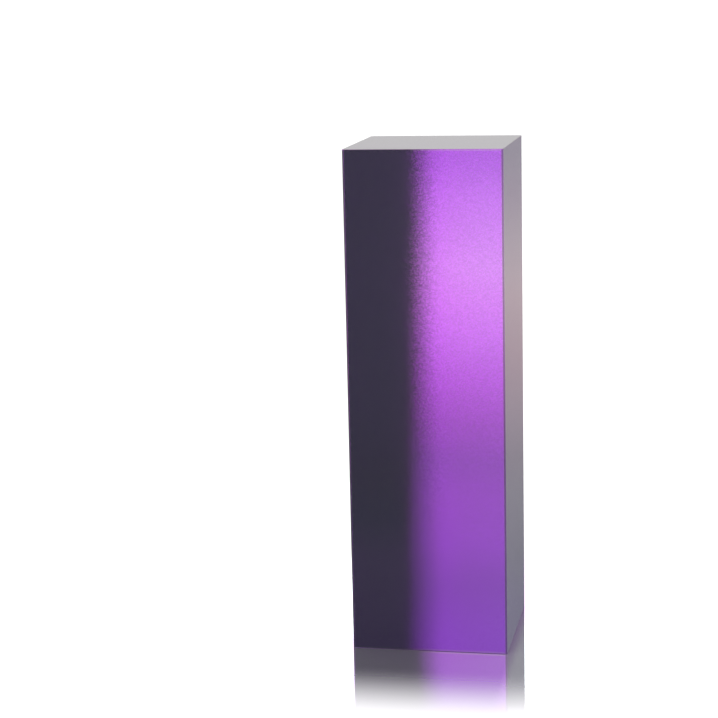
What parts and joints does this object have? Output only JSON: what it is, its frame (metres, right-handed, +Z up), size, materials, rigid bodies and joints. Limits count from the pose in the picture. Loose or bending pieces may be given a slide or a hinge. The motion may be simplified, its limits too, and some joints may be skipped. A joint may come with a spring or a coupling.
{
  "type": "column trophy",
  "caption": "Free-standing square column award in purple anodised aluminium: a tall sleeve with a mitred flat top, weighted inside, on a felt-lined underside.",
  "frame": {"origin": "middle of the felt underside, on the surface that the column stands on", "axes": "+Z up the column to its top face, -Y out of the front face, +X to the right seen from the front"},
  "size_m": [0.06, 0.06, 0.193],
  "materials": {
    "purple_anodised": "fine bead-blasted and purple anodised, satin gloss",
    "turned_steel": "turned, lightly oiled",
    "black_screw_steel": "black oxide",
    "zinc_steel": "bright zinc plated",
    "mdf": "sanded medium-density fibreboard",
    "grey_foam": "closed-cell foam sheet",
    "mill_steel": "sawn bar with mill scale",
    "milled_aluminium": "milled, uncoated",
    "black_felt": "pressed wool felt"
  },
  "bodies": {
    "root": {"column_sleeve": "purple_anodised", "top_plate": "purple_anodised", "anchor_flange": "turned_steel", "anchor_screws": "black_screw_steel", "anchor_lock_nut": "zinc_steel", "tie_rod": "zinc_steel", "core_front_ply": "mdf", "core_middle_ply": "mdf", "core_back_ply": "mdf", "core_cushion": "grey_foam", "ballast_block": "mill_steel", "base_plate": "milled_aluminium", "flat_washer": "zinc_steel", "spring_washer": "black_screw_steel", "clamp_nut": "zinc_steel", "base_pad": "black_felt"}
  },
  "joints": []
}
